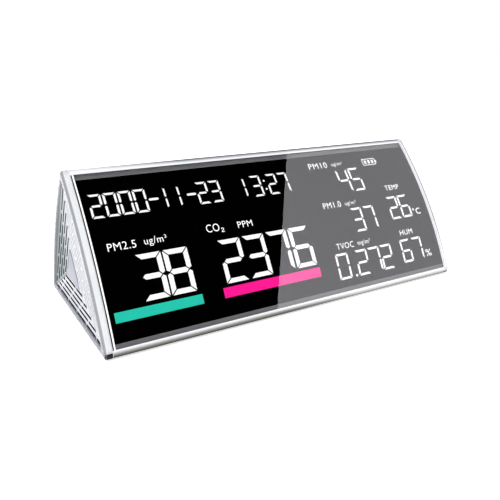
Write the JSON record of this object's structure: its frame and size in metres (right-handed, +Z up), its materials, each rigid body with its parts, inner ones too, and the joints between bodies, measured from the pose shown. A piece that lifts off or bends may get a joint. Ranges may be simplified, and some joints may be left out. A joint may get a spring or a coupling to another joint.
{
  "type": "air quality monitor",
  "caption": "Triangular-prism desk air quality monitor with a bowed full-width display, slotted end grilles in clear frames and rear keys.",
  "frame": {"origin": "middle of the footprint, at the level the rubber feet stand on", "axes": "+X along the body to the right as the display is read, -Y is the side the display faces, +Z up"},
  "size_m": [0.19, 0.0882, 0.0676],
  "materials": {
    "clear": "clear polished plastic",
    "silver_plate": "satin silver paint",
    "clear_bar": "polished pale bar",
    "white_shell": "satin",
    "rubber": "matt",
    "steel": "satin",
    "window": "clear polished",
    "black_film": "gloss black",
    "grey_margin": "satin grey",
    "lcd_glass": "clear",
    "white_sheet": "matt",
    "white_tray": "matt",
    "led": "gloss",
    "flex": "gloss amber",
    "board": "green solder mask",
    "chip": "matt black",
    "black_plastic": "matt black",
    "tin_can": "satin",
    "gold_can": "satin gold plate",
    "filter": "woven white",
    "key": "satin",
    "cell_wrap": "gloss blue sleeve",
    "contact": "plated",
    "brass": "satin",
    "motor": "satin"
  },
  "bodies": {
    "housing": {"left_end_frame": "clear", "right_end_frame": "clear", "left_grille": "silver_plate", "right_grille": "silver_plate", "top_rail": "clear_bar", "front_rail": "clear_bar", "back_cover": "white_shell", "base_plate": "white_shell", "rubber_feet": "rubber", "base_screws": "steel", "display_window": "window", "display_film": "black_film", "display_margins": "grey_margin", "lcd_panel": "lcd_glass", "diffuser": "white_sheet", "light_box": "white_tray", "backlight_leds": "led", "display_ribbon": "flex", "main_board": "board", "main_chips": "chip", "board_screws": "steel", "buzzer": "black_plastic", "voc_sensor": "tin_can", "co2_sensor_case": "gold_can", "co2_sensor_filter": "filter", "humidity_board": "board", "humidity_sensor": "white_sheet", "usb_board": "board", "usb_port": "tin_can", "usb_screws": "steel", "key_board": "board", "key_board_screws": "steel", "key_switches": "black_plastic", "battery_cell": "cell_wrap", "battery_holder": "black_plastic", "battery_contacts": "contact", "particle_sensor_case": "tin_can", "particle_sensor_lid": "tin_can", "particle_sensor_board": "board", "particle_sensor_ribbon": "flex", "laser_module": "brass", "fan_motor": "motor"},
    "power_button": {"power_key": "key", "power_plunger": "black_plastic"},
    "mode_button": {"mode_key": "key", "mode_plunger": "black_plastic"},
    "up_button": {"up_key": "key", "up_plunger": "black_plastic"},
    "down_button": {"down_key": "key", "down_plunger": "black_plastic"},
    "fan": {"fan_rotor": "black_plastic"}
  },
  "joints": [
    {"name": "power_press", "type": "slide", "parent": "housing", "child": "power_button", "axis": [0, -0.8319, -0.555], "range_m": [0, 0.0005], "stiffness_N_per_m": 800},
    {"name": "mode_press", "type": "slide", "parent": "housing", "child": "mode_button", "axis": [0, -0.8319, -0.555], "range_m": [0, 0.0005], "stiffness_N_per_m": 800},
    {"name": "up_press", "type": "slide", "parent": "housing", "child": "up_button", "axis": [0, -0.8319, -0.555], "range_m": [0, 0.0005], "stiffness_N_per_m": 800},
    {"name": "down_press", "type": "slide", "parent": "housing", "child": "down_button", "axis": [0, -0.8319, -0.555], "range_m": [0, 0.0005], "stiffness_N_per_m": 800},
    {"name": "fan_spin", "type": "hinge", "parent": "housing", "child": "fan", "pos_m": [-0.074, 0.005, 0.0143], "axis": [0, 0, 1], "continuous": true}
  ]
}
